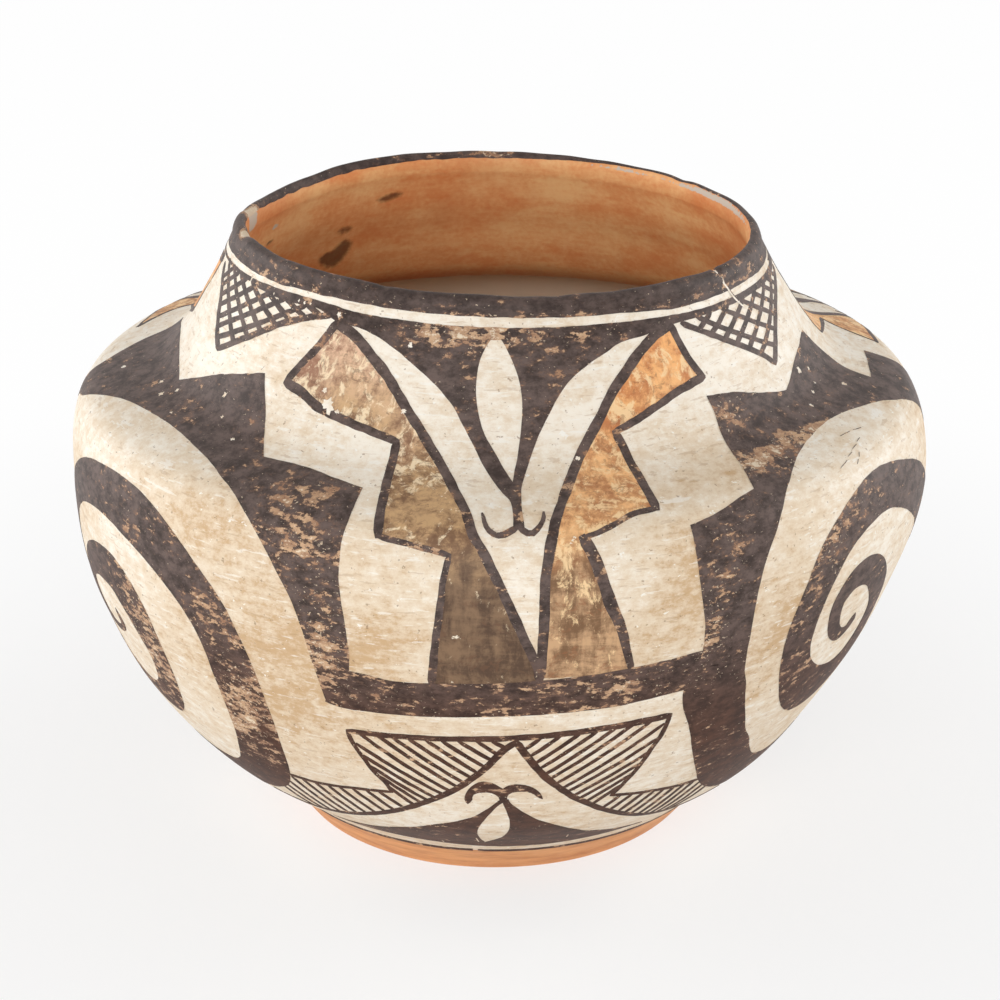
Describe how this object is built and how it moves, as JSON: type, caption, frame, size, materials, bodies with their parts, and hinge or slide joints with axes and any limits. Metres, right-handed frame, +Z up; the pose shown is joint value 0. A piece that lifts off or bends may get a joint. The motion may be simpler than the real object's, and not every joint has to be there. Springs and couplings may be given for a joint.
{
  "type": "pueblo pottery bowl",
  "caption": "Round-bellied, hand-coiled clay jar with a drawn-in neck, rounded lip and flat foot, slipped cream and painted with bold stepped and spiral figures; holds dry goods or water.",
  "frame": {"origin": "centre of the flat resting face", "axes": "+Z up along the jar's axis, the painted front panel faces -Y"},
  "size_m": [0.25, 0.25, 0.1812],
  "materials": {
    "bare_clay": "matt, orange-brown fired clay",
    "cream_slip": "stone-polished cream slip, satin, with fine streaks and specks",
    "black_paint": "soft charcoal mineral paint, satin, worn through in places",
    "brown_paint": "mottled brown clay paint, matt",
    "orange_paint": "orange clay paint, matt"
  },
  "bodies": {
    "root": {"puki_base": "bare_clay", "lower_wall_coil_1": "cream_slip", "lower_wall_coil_2": "cream_slip", "lower_wall_coil_3": "cream_slip", "belly_coil_1": "cream_slip", "belly_coil_2": "cream_slip", "belly_coil_3": "cream_slip", "shoulder_coil_1": "cream_slip", "shoulder_coil_2": "cream_slip", "neck_coil": "cream_slip", "rim_coil": "black_paint"}
  },
  "joints": []
}
